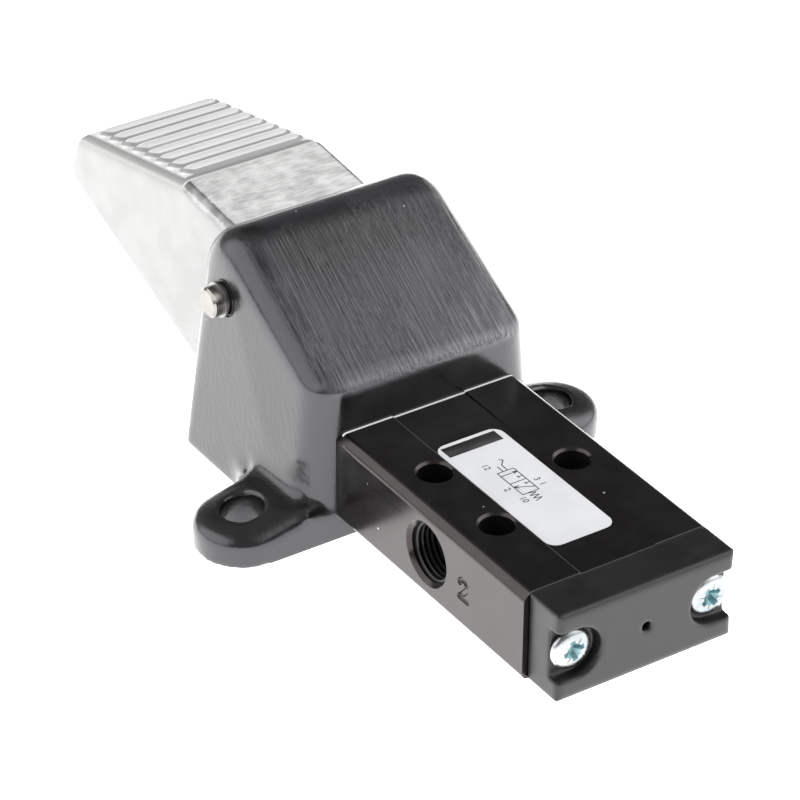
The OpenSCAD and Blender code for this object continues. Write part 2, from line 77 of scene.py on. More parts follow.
camera_offset = mm(-4.295, 17.19)
back = Vector((
    math.sin(camera_azimuth) * math.cos(camera_height),
    -math.cos(camera_azimuth) * math.cos(camera_height),
    math.sin(camera_height),
))
right = Vector((math.cos(camera_azimuth), math.sin(camera_azimuth), 0))
up = back.cross(right)
tilted_right = right * math.cos(camera_roll) - up * math.sin(camera_roll)
tilted_up = right * math.sin(camera_roll) + up * math.cos(camera_roll)
camera = bpy.data.objects.new("camera", bpy.data.cameras.new("camera"))
camera.matrix_world = Matrix.Translation(
    camera_aim + tilted_right * camera_offset[0] + tilted_up * camera_offset[1] + back * camera_distance
) @ Matrix((tilted_right, tilted_up, back)).transposed().to_4x4()
camera.data.sensor_width = sensor_width
camera.data.lens = focal_pixels / image_pixels * sensor_width
camera.data.clip_start = nearest_seen
scene.collection.objects.link(camera)
scene.camera = camera


# Floor and light
# A lit white table in a pale tent, with a soft box on the left and a lamp high on the right. The tent is dim
# behind the valve and at its hem, so that level black faces stay dark and upright ones pick up the table.
scene.view_settings.view_transform = "Standard"
floor_size = 6.0
floor_glow = 2.3
tent_glow = 0.4
behind_glow = 0.14
behind = Vector((-0.7, 0.47, 0.54)).normalized()
behind_reach = (0.9, 0.98)
box_glow = 2.2
box = Vector((-0.3, -0.85, 0.42)).normalized()
box_reach = (0.66, 0.86)
lamp_glow = 3.0
lamp = Vector((0.45, 0.75, 0.48)).normalized()
lamp_reach = (0.65, 1)
hem_share = 0.15
hem_height = 0.14
hem_foot = 0.3 * hem_height
table_grey = (0.8, 0.8, 0.8, 1)
table_roughness = 0.9
white = (1, 1, 1, 1)


def object_from_bmesh(name, bm):
    """Turns a bmesh into a smooth shaded object at the origin."""
    mesh = bpy.data.meshes.new(name)
    bm.to_mesh(mesh)
    bm.free()
    mesh.shade_smooth()
    piece = bpy.data.objects.new(name, mesh)
    scene.collection.objects.link(piece)
    return piece


def add_node(tree, kind, inputs=None, **settings):
    """Adds a shader node with its settings; each input gets a value, or a link from a socket."""
    node = tree.nodes.new("ShaderNode" + kind)
    for name, value in settings.items():
        setattr(node, name, value)
    for name, value in (inputs or {}).items():
        if isinstance(value, bpy.types.NodeSocket):
            tree.links.new(value, node.inputs[name])
        else:
            node.inputs[name].default_value = value
    return node


def math_of(tree, operation, first, second):
    """The result of a Math node."""
    return add_node(tree, "Math", {0: first, 1: second}, operation=operation).outputs["Value"]


def ramp_of(tree, value, start, end, low=0.0, high=1.0):
    """A value that goes smoothly from low to high between start and end."""
    limits = {"Value": value, "From Min": start, "From Max": end, "To Min": low, "To Max": high}
    return add_node(tree, "MapRange", limits, interpolation_type="SMOOTHSTEP").outputs["Result"]


def new_material(name):
    """A material with its node tree and its Principled shader."""
    material = bpy.data.materials.new(name)
    material.use_nodes = True
    return material, material.node_tree, material.node_tree.nodes["Principled BSDF"]


bm = bmesh.new()
bmesh.ops.create_grid(bm, x_segments=1, y_segments=1, size=floor_size / 2)
floor = object_from_bmesh("floor", bm)
white_table, tree, shader = new_material("white_table")
shader.inputs["Base Color"].default_value = table_grey
shader.inputs["Roughness"].default_value = table_roughness
shader.inputs["Emission Color"].default_value = white
shader.inputs["Emission Strength"].default_value = floor_glow
floor.data.materials.append(white_table)

scene.world = bpy.data.worlds.new("tent")
scene.world.use_nodes = True
tree = scene.world.node_tree
direction = add_node(tree, "TexCoord").outputs["Generated"]


def towards(place):
    """How closely a direction of the tent points towards a place in it."""
    return add_node(tree, "VectorMath", {0: direction, 1: place}, operation="DOT_PRODUCT").outputs["Value"]


glow = ramp_of(tree, towards(behind), *behind_reach, tent_glow, behind_glow)
glow = math_of(tree, "ADD", glow, ramp_of(tree, towards(box), *box_reach, 0, box_glow))
glow = math_of(tree, "ADD", glow, ramp_of(tree, towards(lamp), *lamp_reach, 0, lamp_glow))
hem = ramp_of(tree, towards((0, 0, 1)), hem_foot, hem_height, hem_share, 1)
tree.links.new(math_of(tree, "MULTIPLY", glow, hem), tree.nodes["Background"].inputs["Strength"])
tree.nodes["Background"].inputs["Color"].default_value = white


# Pedal housing
# A light alloy casting with a sloped hood, an open rear and two foot ears. Its slope was sanded before the
# casting was painted semi-gloss black, so the sanding lines show through and every edge is soft.
same_place = 0.001 * MM
housing_grid = 0.4 * MM
housing_rounds = 15
blend_low = Vector((-20, 19.5, 1.5)) * MM
blend_high = Vector((5.5, 25.4, 14)) * MM
blend_rounds = 40
web_middle = Vector((7, 18.6, 2.65)) * MM
web_size = Vector((2, 4.4, 5.3)) * MM
slope_angle = math.radians(29.53)
swell_depth = 0.4 * MM
swell_x = mm(-9, 23)
swell_y = mm(-16, 16)
sanding_turn = math.radians(2.5)
sanding_height = 0.1 * MM
sanding_scales = (95, 2100)
ripple_turn = math.radians(60)
ripple_scales = (560, 1350)
paint_grain_height = 0.012 * MM
slope_fade = mm(0.25, 1.3)
painted_light_run = mm(-16, 16)
grey_run = mm(-32, -21)
front_run, front_drop = mm(-9.6, -8), mm(-1.7, -0.9)
round_run, round_drop = mm(-39, -36), mm(-4, -2.5)
hood_side = mm(13.5, 16.5)
wall_side, wall_drop = mm(17, 18.5), mm(-2.6, -1.4)
paint_black, paint_grey = (0.003, 0.003, 0.0034), (0.4, 0.395, 0.43)
paint_roughness = (0.18, 0.26)
slope_centre = Vector((-20.2 * MM, 0, 34 * MM))
slope_radius = 8.3 * MM
slope_level = (
    slope_centre.x * math.sin(slope_angle) + slope_centre.z * math.cos(slope_angle) + slope_radius
)


def apply_modifiers(piece):
    """Makes the piece's modifiers part of its mesh."""
    drawn = piece.evaluated_get(bpy.context.evaluated_depsgraph_get())
    mesh = bpy.data.meshes.new_from_object(drawn)
    piece.modifiers.clear()
    piece.data = mesh


def merged_copy(node):
    """A bmesh copy of a CAD node, with its triangles joined to each other."""
    bm = bmesh.new()
    bm.from_mesh(frame["nodes"][node].data)
    bmesh.ops.remove_doubles(bm, verts=bm.verts, dist=same_place)
    return bm


def casting(name, bm, grid, rounds):
    """A form on an even grid, smoothed so that its edges are as soft as a casting's."""
    piece = object_from_bmesh(name, bm)
    even = piece.modifiers.new("even_grid", "REMESH")
    even.mode = "VOXEL"
    even.voxel_size = grid
    soft = piece.modifiers.new("soft_edges", "SMOOTH")
    soft.factor = 0.5
    soft.iterations = rounds
    apply_modifiers(piece)
    piece.data.shade_smooth()
    return piece


def new_group(name, values, results):
    """A shader node group with number inputs and a Vector input, and number outputs."""
    group = bpy.data.node_groups.new(name, "ShaderNodeTree")
    group.interface.new_socket("Vector", in_out="INPUT", socket_type="NodeSocketVector")
    for label in values:
        group.interface.new_socket(label, in_out="INPUT", socket_type="NodeSocketFloat")
    for label in results:
        group.interface.new_socket(label, in_out="OUTPUT", socket_type="NodeSocketFloat")
    return group, group.nodes.new("NodeGroupInput").outputs, group.nodes.new("NodeGroupOutput").inputs


# Long thin lines along the vector's X, such as sanding, drawing and grinding leave
line_contrast = (0.33, 0.67)
fine_lines, given, made = new_group("fine_lines", ("Along", "Across"), ("Lines",))
by_axis = {"X": given["Along"], "Y": given["Across"], "Z": given["Across"]}
scales = add_node(fine_lines, "CombineXYZ", by_axis).outputs[0]
stretch = add_node(fine_lines, "VectorMath", {0: given["Vector"], 1: scales}, operation="MULTIPLY").outputs[0]
noise = add_node(fine_lines, "TexNoise", {"Vector": stretch, "Scale": 1, "Detail": 3, "Roughness": 0.6})
fine_lines.links.new(ramp_of(fine_lines, noise.outputs[0], *line_contrast), made["Lines"])

# Fine bumps of a cast or painted skin, and slow changes of tone over it
grain_contrast = (0.3, 0.7)
broad_share = 0.12
skin_grain, given, made = new_group("skin_grain", ("Scale",), ("Fine", "Broad"))
fine = add_node(skin_grain, "TexNoise", {"Vector": given["Vector"], "Scale": given["Scale"], "Detail": 3})
broad_scale = math_of(skin_grain, "MULTIPLY", given["Scale"], broad_share)
broad = add_node(skin_grain, "TexNoise", {"Vector": given["Vector"], "Scale": broad_scale, "Detail": 2})
skin_grain.links.new(fine.outputs[0], made["Fine"])
skin_grain.links.new(ramp_of(skin_grain, broad.outputs[0], *grain_contrast), made["Broad"])

# Specks of dust: a few small dots, far apart
speck_size = (0.03, 0.075)
speck_chance = (0.88, 0.9)
dust_specks, given, made = new_group("dust_specks", ("Scale",), ("Specks",))
cells = add_node(dust_specks, "TexVoronoi", {"Vector": given["Vector"], "Scale": given["Scale"]})
chance = add_node(dust_specks, "SeparateColor", {0: cells.outputs["Color"]}).outputs[0]
dots = ramp_of(dust_specks, cells.outputs["Distance"], *speck_size, 1, 0)
few = ramp_of(dust_specks, chance, *speck_chance)
dust_specks.links.new(math_of(dust_specks, "MULTIPLY", dots, few), made["Specks"])


def lines_of(tree, place, along, across):
    """Fine lines with a scale along them and one across them."""
    inputs = {"Vector": place, "Along": along, "Across": across}
    return add_node(tree, "Group", inputs, node_tree=fine_lines).outputs["Lines"]


def grain_of(tree, place, scale):
    """The Fine and Broad values of a skin's grain."""
    return add_node(tree, "Group", {"Vector": place, "Scale": scale}, node_tree=skin_grain).outputs


def specks_of(tree, place, scale):
    """Specks of dust, or pits."""
    return add_node(tree, "Group", {"Vector": place, "Scale": scale}, node_tree=dust_specks).outputs["Specks"]


def sum_of(tree, *shares):
    """The sum of values, each times its share."""
    total = 0.0
    for value, share in shares:
        total = math_of(tree, "ADD", total, math_of(tree, "MULTIPLY", value, share))
    return total


def tone_of(tree, factor, dark, light):
    """A colour between two greys or tints."""
    ramp = add_node(tree, "ValToRGB", {"Fac": factor})
    ramp.color_ramp.elements[0].color = (*dark, 1)
    ramp.color_ramp.elements[1].color = (*light, 1)
    return ramp.outputs["Color"]


def bump_of(tree, height, distance, normal=None):
    """A normal tilted by a height from 0 to 1, where 1 stands for the given distance."""
    inputs = {"Height": height, "Distance": distance}
    if normal:
        inputs["Normal"] = normal
    return add_node(tree, "Bump", inputs).outputs["Normal"]


bm = merged_copy("pedal_housing")
for side in (-1, 1):
    place = Matrix.Translation((web_middle.x, side * web_middle.y, web_middle.z))
    bmesh.ops.create_cube(bm, size=1, matrix=place @ Matrix.Diagonal((*web_size, 1)))
housing = casting("cast_housing", bm, housing_grid, housing_rounds)
bm = bmesh.new()
bm.from_mesh(housing.data)
by_ears = [
    v for v in bm.verts
    if blend_low.x < v.co.x < blend_high.x and blend_low.y < abs(v.co.y) < blend_high.y
    and blend_low.z < v.co.z < blend_high.z
]
for _ in range(blend_rounds):
    bmesh.ops.smooth_vert(bm, verts=by_ears, factor=0.5, use_axis_x=True, use_axis_y=True, use_axis_z=True)
bm.to_mesh(housing.data)
bm.free()
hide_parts("pedal_housing")
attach(housing, "valve")

housing_paint, tree, shader = new_material("housing_paint")
place = add_node(tree, "TexCoord").outputs["Object"]
grain = grain_of(tree, place, 1100)
dust = specks_of(tree, place, 330)
down_slope = add_node(
    tree, "Mapping", {"Vector": place, "Rotation": (0, -slope_angle, sanding_turn)}
).outputs[0]
at = add_node(tree, "SeparateXYZ", {0: down_slope}).outputs
off_slope = math_of(tree, "SUBTRACT", at["Z"], slope_level)
on_slope = ramp_of(tree, math_of(tree, "ABSOLUTE", off_slope, 0), *slope_fade, 1, 0)
patches = grain_of(tree, down_slope, 900)["Broad"]
worked = math_of(tree, "MULTIPLY", on_slope, ramp_of(tree, patches, 0, 1, 0.35, 1))
sanding = math_of(tree, "MULTIPLY", lines_of(tree, down_slope, *sanding_scales), worked)
# The sanding lines are real; they are painted brighter towards the slope's lower right corner as painted
# light
from_corner = sum_of(tree, (at["X"], 1), (at["Y"], 0.6))
sanding_and_painted_light = math_of(tree, "MULTIPLY", sanding, ramp_of(tree, from_corner, *painted_light_run, 0.06, 1))
# The slope is painted lighter away from its top and the brow below it lighter still, as painted light;
# the round top above it is painted a little lighter grey
below_top = math_of(tree, "MULTIPLY", on_slope, ramp_of(tree, at["X"], *grey_run))
on_front = math_of(
    tree, "MULTIPLY", ramp_of(tree, at["X"], *front_run), ramp_of(tree, off_slope, *front_drop)
)
on_round = math_of(
    tree, "MULTIPLY", ramp_of(tree, at["X"], *round_run, 1, 0), ramp_of(tree, off_slope, *round_drop)
)
within = ramp_of(tree, math_of(tree, "ABSOLUTE", at["Y"], 0), *hood_side, 1, 0)
wear_and_painted_light = sum_of(
    tree, (below_top, 0.05), (on_front, 0.07), (math_of(tree, "MULTIPLY", on_round, within), 0.06)
)
# The faces swell a little, and the paint on the walls has run in short ripples
along = ramp_of(tree, at["X"], *swell_x, -1, 1)
aside = ramp_of(tree, at["Y"], *swell_y, -1, 1)
swell = sum_of(
    tree, (math_of(tree, "MULTIPLY", along, along), -1), (math_of(tree, "MULTIPLY", aside, aside), -1)
)
off_middle = math_of(tree, "ABSOLUTE", add_node(tree, "SeparateXYZ", {0: place}).outputs["Y"], 0)
on_wall = math_of(
    tree, "MULTIPLY", ramp_of(tree, off_middle, *wall_side), ramp_of(tree, off_slope, *wall_drop, 1, 0)
)
down_wall = add_node(tree, "Mapping", {"Vector": place, "Rotation": (0, -ripple_turn, 0)}).outputs[0]
ripples = math_of(tree, "MULTIPLY", lines_of(tree, down_wall, *ripple_scales), on_wall)
skin = bump_of(tree, grain["Fine"], paint_grain_height, bump_of(tree, swell, swell_depth))
relief = sum_of(tree, (sanding, 1), (ripples, 0.11))
tree.links.new(bump_of(tree, relief, sanding_height, skin), shader.inputs["Normal"])
tone = sum_of(tree, (grain["Broad"], 0.008), (sanding_and_painted_light, 0.6), (wear_and_painted_light, 1), (dust, 0.6))
tree.links.new(tone_of(tree, tone, paint_black, paint_grey), shader.inputs["Base Color"])
tree.links.new(ramp_of(tree, grain["Broad"], 0, 1, *paint_roughness), shader.inputs["Roughness"])
shader.inputs["IOR"].default_value = 1.62
shader.inputs["Specular Tint"].default_value = (0.98, 0.96, 1, 1)
housing.data.materials.append(housing_paint)


# Valve body
# A block sawn from an aluminium extrusion, with a shallow channel along its top, drilled and tapped, stamped
# with its port numbers and anodised black. Two screws hold it to the housing.
body_edge = 0.18 * MM
body_chamfer = 1.25 * MM
chamfer_edge = 0.4 * MM
body_low, body_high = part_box("valve_body")
stroke_radius = 0.56 * MM
stroke_lift = 0.14 * MM
stroke_grid = 0.06 * MM
stroke_rounds = 3
stroke_sides = 16
number_lift = -0.9 * MM
number_step = 9.95 * MM
channel_edge_y = 6.8 * MM
channel_depth = 0.3 * MM
channel_fill = 0.11 * MM
top_skin = mm(-0.45, -0.25)
rear_highlight_strip = mm(0.3, 0.5)
rubbed_line = mm(0.04, 0.14)
cap_seam_highlight_line = mm(-0.22, -0.1)
drawn_scales = (25, 2600)
drawn_height = 0.0004 * MM
body_grain_height = 0.003 * MM
anodised_black, pale_metal_and_highlight = (0.0035, 0.003, 0.003), (0.9, 0.89, 0.88)
flat_angle_limit = math.radians(1)
sharp_angle = math.radians(35)
slant_normal = 0.7
ports = {mount["name"]: mount for mount in frame["record"]["mounts"] if mount["kind"] == "threaded_hole"}


def crisp(name, bm, edge):
    """A form with flat faces and fine bevels on its sharp edges."""
    bmesh.ops.dissolve_limit(bm, angle_limit=flat_angle_limit, verts=bm.verts, edges=bm.edges)
    piece = object_from_bmesh(name, bm)
    bevel = piece.modifiers.new("fine_bevels", "BEVEL")
    bevel.width = edge
    bevel.segments = 2
    bevel.limit_method = "ANGLE"
    bevel.angle_limit = sharp_angle
    apply_modifiers(piece)
    return piece


def arc(x, y, radius, start, end, steps=10):
    """Points along an arc, in millimetres and degrees."""
    turns = [math.radians(start + (end - start) * i / steps) for i in range(steps + 1)]
    return [(x + radius * math.cos(turn), y + radius * math.sin(turn)) for turn in turns]


def stamp(name, strokes, place):
    """A punch with a figure of round strokes, ready to be cut out of a face."""
    bm = bmesh.new()
    for points in strokes:
        points = [Vector((x * MM, y * MM, stroke_lift)) for x, y in points]
        for point in points:
            bmesh.ops.create_uvsphere(
                bm, u_segments=stroke_sides, v_segments=10, radius=stroke_radius,
                matrix=Matrix.Translation(point),
            )
        for start, end in zip(points, points[1:]):
            run = end - start
            turn = Matrix.Rotation(math.atan2(run.y, run.x), 4, "Z") @ Matrix.Rotation(math.pi / 2, 4, "Y")
            bmesh.ops.create_cone(
                bm, cap_ends=True, segments=stroke_sides, radius1=stroke_radius, radius2=stroke_radius,
                depth=run.length, matrix=Matrix.Translation((start + end) / 2) @ turn,
            )
    bm.transform(place)
    return casting(name, bm, stroke_grid, stroke_rounds)


def cut(piece, cutters):
    """Cuts other objects out of a piece, removes them, and clears the slivers that the cuts leave."""
    for cutter in cutters:
        boolean = piece.modifiers.new(cutter.name, "BOOLEAN")
        boolean.operation = "DIFFERENCE"
        boolean.solver = "EXACT"
        boolean.object = cutter
    apply_modifiers(piece)
    for cutter in cutters:
        bpy.data.objects.remove(cutter)
    bm = bmesh.new()
    bm.from_mesh(piece.data)
    bmesh.ops.remove_doubles(bm, verts=bm.verts, dist=same_place)
    bmesh.ops.dissolve_degenerate(bm, dist=same_place, edges=bm.edges)
    bm.to_mesh(piece.data)
    bm.free()


# The strokes of each number, in millimetres from its middle
figures = {
    "1": [[(-0.65, 1.25), (0, 1.9), (0, -1.5)]],
    "2": [arc(0, 0.93, 0.97, 170, -35) + [(-1, -1.5), (1.05, -1.5)]],
    "3": [arc(-0.1, 1.05, 0.85, 120, -90), arc(-0.1, -0.67, 0.87, 90, -120)],
}
bm = merged_copy("valve_body")
for vert in bm.verts:
    on_channel = abs(vert.co.z - body_high.z + channel_depth) < 10 * same_place
    if on_channel and abs(vert.co.y) < channel_edge_y + 10 * same_place:
        vert.co.z += channel_fill
for side, corner in ((-1, body_low.y), (1, body_high.y)):
    outside = bmesh.ops.bisect_plane(
        bm, geom=bm.verts[:] + bm.edges[:] + bm.faces[:], dist=same_place / 10,
        plane_co=(0, corner, body_high.z - body_chamfer), plane_no=(0, side, 1), clear_outer=True,
    )["geom_cut"]
    rim = [part for part in outside if isinstance(part, bmesh.types.BMEdge)]
    bmesh.ops.edgenet_fill(bm, edges=rim)
    bmesh.ops.recalc_face_normals(bm, faces=bm.faces)
    bmesh.ops.dissolve_limit(bm, angle_limit=flat_angle_limit, verts=bm.verts, edges=bm.edges)
    slant = [face for face in bm.faces if min(face.normal.y * side, face.normal.z) > slant_normal]
    long_edges = [edge for face in slant for edge in face.edges if edge.calc_length() > body_chamfer * 2]
    bmesh.ops.bevel(
        bm, geom=long_edges, affect="EDGES", offset=chamfer_edge, segments=3, profile=0.5, material=-1
    )
body = crisp("anodised_body", bm, body_edge)
stamps = []
for name, mount in ports.items():
    outward = Vector(mount["axis"])
    reading = Vector((0, 0, 1)).cross(outward)
    middle = Vector(mount["pos_m"])
    middle.x += -number_step if name == "port_1" else number_step
    middle.y = body_high.y if outward.y > 0 else body_low.y
    middle.z += number_lift
    facing = Matrix((reading, (0, 0, 1), outward)).transposed().to_4x4()
    stamps.append(stamp("stamp_" + name, figures[name[-1]], Matrix.Translation(middle) @ facing))
cut(body, stamps)
body.data.shade_smooth()
body.modifiers.new("flat_faces", "WEIGHTED_NORMAL")
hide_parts("valve_body")
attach(body, "valve")

body_black, tree, shader = new_material("body_black")
place = add_node(tree, "TexCoord").outputs["Object"]
grain = grain_of(tree, place, 1500)
dust = specks_of(tree, place, 300)
drawn = lines_of(tree, place, *drawn_scales)
at = add_node(tree, "SeparateXYZ", {0: place}).outputs
near_top = ramp_of(tree, at["Z"], *(body_high.z + depth for depth in top_skin))
# A thin pale strip along the rear top edge is a painted highlight
rear_highlight = ramp_of(tree, at["X"], *(body_low.x + length for length in rear_highlight_strip), 1, 0)
from_edge = math_of(tree, "ADD", at["Y"], channel_edge_y)
wear_and_painted_light = ramp_of(tree, math_of(tree, "ABSOLUTE", from_edge, 0), *rubbed_line, 0.1, 0)
# A faint pale line along the top edge at the end cap is a painted highlight
cap_seam_highlight = ramp_of(tree, at["X"], *(body_high.x + length for length in cap_seam_highlight_line), 0, 0.08)
# Near the top, the rear strip and the cap seam line are painted highlights; the line along the channel's near
# edge is wear
wear_and_highlights = math_of(tree, "MULTIPLY", near_top, sum_of(tree, (rear_highlight, 1), (wear_and_painted_light, 1), (cap_seam_highlight, 1)))
skin = bump_of(tree, grain["Fine"], body_grain_height)
tree.links.new(bump_of(tree, drawn, drawn_height, skin), shader.inputs["Normal"])
tone = sum_of(tree, (grain["Broad"], 0.005), (wear_and_highlights, 1), (dust, 0.5))
tree.links.new(tone_of(tree, tone, anodised_black, pale_metal_and_highlight), shader.inputs["Base Color"])
tree.links.new(ramp_of(tree, drawn, 0, 1, 0.19, 0.22), shader.inputs["Roughness"])
shader.inputs["IOR"].default_value = 1.46
shader.inputs["Specular Tint"].default_value = (1, 0.9, 0.88, 1)
body.data.materials.append(body_black)


# Port threads
# Three parallel pipe threads, tapped into the body's sides after the ports were bored, and anodised with it.
# The turns near a port's mouth are a little shinier than those inside.
thread_pitch = 0.907 * MM
thread_depth = 0.5 * MM
thread_steps = 40
thread_foot = 0.02 * MM
thread_start = 0.45 * thread_pitch
ridge_foot_share = 0.42
ridge_top_share = 0.07
shiny_run = mm(-3, -1.6)

tapped_black, tree, shader = new_material("tapped_black")
place = add_node(tree, "TexCoord").outputs["Object"]
grain = grain_of(tree, place, 2200)
tree.links.new(tone_of(tree, grain["Broad"], (0.01,) * 3, (0.014,) * 3), shader.inputs["Base Color"])
tree.links.new(ramp_of(tree, grain["Fine"], *grain_contrast, 0.34, 0.46), shader.inputs["Roughness"])
off_middle = math_of(tree, "ABSOLUTE", add_node(tree, "SeparateXYZ", {0: place}).outputs["Y"], 0)
by_mouth = ramp_of(tree, off_middle, *(body_high.y + depth for depth in shiny_run), 0, 0.5)
tree.links.new(by_mouth, shader.inputs["Coat Weight"])
shader.inputs["Coat Roughness"].default_value = 0.12
shader.inputs["IOR"].default_value = 1.12


def thread_ridge(bm, root, crest, pitch, turns, steps):
    """Adds a helical ridge about Z, from z = 0 upwards, between the radii of its root and its crest."""
    half_foot, half_top = ridge_foot_share * pitch, ridge_top_share * pitch
    section = ((root, -half_foot), (crest, -half_top), (crest, half_top), (root, half_foot))
    corners = [bm.verts.new((r, 0, z)) for r, z in section]
    edges = [bm.edges.new((corners[i], corners[i - 1])) for i in range(4)]
    bmesh.ops.spin(
        bm, geom=corners + edges, cent=(0, 0, 0), axis=(0, 0, 1), dvec=(0, 0, pitch / steps),
        angle=2 * math.pi * turns, steps=int(steps * turns),
    )
    bmesh.ops.holes_fill(bm, edges=bm.edges, sides=4)
    bmesh.ops.recalc_face_normals(bm, faces=bm.faces)


for name, mount in ports.items():
    side = 1 if mount["axis"][1] > 0 else -1
    bore_radius = mount["dims"]["r_mm"] * MM
    bore_length = mount["dims"]["length_mm"] * MM
    mouth = Vector(mount["pos_m"])
    mouth.y += side * bore_length / 2
    turns = bore_length / thread_pitch - 1
    bm = bmesh.new()
    thread_ridge(
        bm, bore_radius + thread_foot, bore_radius - thread_depth, thread_pitch, turns, thread_steps
    )
    bmesh.ops.translate(bm, verts=bm.verts, vec=(0, 0, thread_start))
    bm.transform(Matrix.Translation(mouth) @ Matrix.Rotation(side * math.pi / 2, 4, "X"))
    thread = object_from_bmesh("thread_of_" + name, bm)
    thread.data.materials.append(tapped_black)
    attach(thread, "valve")


# Plunger and its guide
# A ground steel rod that the pedal's nose pushes. It slides in a turned brass bush in the body's rear end,
# with a rubber ring in a groove inside the bush and one outside.
turning_height = 0.004 * MM
rubber_grain_height = 0.01 * MM


def paint(material, *nodes):
    """Gives CAD nodes a material."""
    for node in nodes:
        for slot in frame["nodes"][node].material_slots:
            slot.material = material


def turned_metal(name, dark, light, roughness, across, axis, centre):
    """A bare metal with fine turning lines about an axis, and slow changes of tone."""
    material, tree, shader = new_material(name)
    place = add_node(tree, "TexCoord").outputs["Object"]
    grain = grain_of(tree, place, 900)
    from_centre = add_node(tree, "VectorMath", {0: place, 1: centre}, operation="SUBTRACT").outputs[0]
    along = add_node(tree, "VectorMath", {0: from_centre, 1: axis}, operation="DOT_PRODUCT").outputs["Value"]
    across_axis = tuple(1 - part for part in axis)
    radial = add_node(tree, "VectorMath", {0: from_centre, 1: across_axis}, operation="MULTIPLY").outputs[0]
    radius = add_node(tree, "VectorMath", {0: radial}, operation="LENGTH").outputs["Value"]
    turned = add_node(tree, "CombineXYZ", {"Y": radius, "Z": along}).outputs[0]
    lines = lines_of(tree, turned, 0, across)
    tree.links.new(bump_of(tree, lines, turning_height), shader.inputs["Normal"])
    tree.links.new(tone_of(tree, grain["Broad"], dark, light), shader.inputs["Base Color"])
    tree.links.new(ramp_of(tree, lines, 0, 1, roughness, roughness + 0.1), shader.inputs["Roughness"])
    shader.inputs["Metallic"].default_value = 1
    return material


valve_axis, valve_centre = (1, 0, 0), (0, 0, (body_low.z + body_high.z) / 2)
ground_steel = turned_metal(
    "ground_steel", (0.5, 0.51, 0.52), (0.62, 0.63, 0.64), 0.18, 4000, valve_axis, valve_centre
)
turned_brass = turned_metal(
    "turned_brass", (0.55, 0.4, 0.16), (0.7, 0.52, 0.24), 0.28, 3000, valve_axis, valve_centre
)
paint(ground_steel, "plunger")
paint(turned_brass, "plunger_guide")

seal_rubber, tree, shader = new_material("seal_rubber")
place = add_node(tree, "TexCoord").outputs["Object"]
grain = grain_of(tree, place, 2500)
tree.links.new(bump_of(tree, grain["Fine"], rubber_grain_height), shader.inputs["Normal"])
tree.links.new(tone_of(tree, grain["Broad"], (0.012,) * 3, (0.022,) * 3), shader.inputs["Base Color"])
tree.links.new(ramp_of(tree, grain["Fine"], *grain_contrast, 0.5, 0.65), shader.inputs["Roughness"])
paint(seal_rubber, "plunger_seal", "guide_o_ring")


# Spool and return spring
# A turned aluminium spool with four rubber rings slides in the body's bore, and a closed coil spring between
# it and the end cap pushes it back.
turned_spool = turned_metal(
    "turned_spool", (0.6, 0.61, 0.62), (0.72, 0.73, 0.74), 0.25, 3500, valve_axis, valve_centre
)
paint(turned_spool, "spool")
paint(seal_rubber, "spool_seal_1", "spool_seal_2", "spool_seal_3", "spool_seal_4")

spring_low, spring_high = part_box("return_spring")
spring_length = spring_high.x - spring_low.x
wire_radius = 0.45 * MM
wire_sides = 12
coil_radius = (spring_high.y - spring_low.y) / 2 - wire_radius
closed_turns = 0.9
open_turns = 4.7
closed_rise = 0.95 * 2 * wire_radius
spring_steps = 24

bm = bmesh.new()
bmesh.ops.create_circle(
    bm, segments=wire_sides, radius=wire_radius,
    matrix=Matrix.Translation((coil_radius, 0, wire_radius)) @ Matrix.Rotation(math.pi / 2, 4, "X"),
)
ring = list(bm.verts) + list(bm.edges)
open_rise = spring_length - 2 * wire_radius - 2 * closed_rise
for turns, rise in ((closed_turns, closed_rise), (open_turns, open_rise), (closed_turns, closed_rise)):
    steps = round(turns * spring_steps)
    ring = bmesh.ops.spin(
        bm, geom=ring, cent=(0, 0, 0), axis=(0, 0, 1), dvec=(0, 0, rise / steps),
        angle=2 * math.pi * turns, steps=steps,
    )["geom_last"]
bmesh.ops.holes_fill(bm, edges=bm.edges, sides=wire_sides)
bmesh.ops.recalc_face_normals(bm, faces=bm.faces)
spring_axis_z = (spring_low.z + spring_high.z) / 2
bm.transform(Matrix.Translation((spring_low.x, 0, spring_axis_z)) @ Matrix.Rotation(math.pi / 2, 4, "Y"))
spring = object_from_bmesh("coil_spring", bm)
spring.data.materials.append(turned_metal(
    "spring_steel", (0.42, 0.42, 0.43), (0.55, 0.55, 0.56), 0.25, 2500, valve_axis, valve_centre
))
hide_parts("return_spring")
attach(spring, "valve")
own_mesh(spring)


# End cap
# A satin black anodised aluminium cap with soft edges, a vent and two screw pockets that are open to its
# sides. A rubber ring on its spigot seals it in the body.
cap_grid = 0.28 * MM
cap_rounds = 5
cap_low, cap_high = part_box("end_cap")
drawn_edge = 1.1 * MM
finished_edge = 0.4 * MM
near_edge = 0.9 * drawn_edge
cap_grain_height = 0.006 * MM
bm = merged_copy("end_cap")
middle = (cap_low + cap_high) / 2
half_width, half_height = cap_high.y - drawn_edge, cap_high.z - middle.z - drawn_edge
for vert in bm.verts:
    over_y = abs(vert.co.y) - half_width
    over_z = abs(vert.co.z - middle.z) - half_height
    if over_y > 0 and over_z > 0 and math.hypot(over_y, over_z) > near_edge:
        spare = 1 - finished_edge / drawn_edge
        vert.co.y += math.copysign(spare * (drawn_edge - over_y), vert.co.y)
        vert.co.z += math.copysign(spare * (drawn_edge - over_z), vert.co.z - middle.z)
cap = casting("moulded_cap", bm, cap_grid, cap_rounds)
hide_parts("end_cap")
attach(cap, "valve")
paint(seal_rubber, "cap_seal")

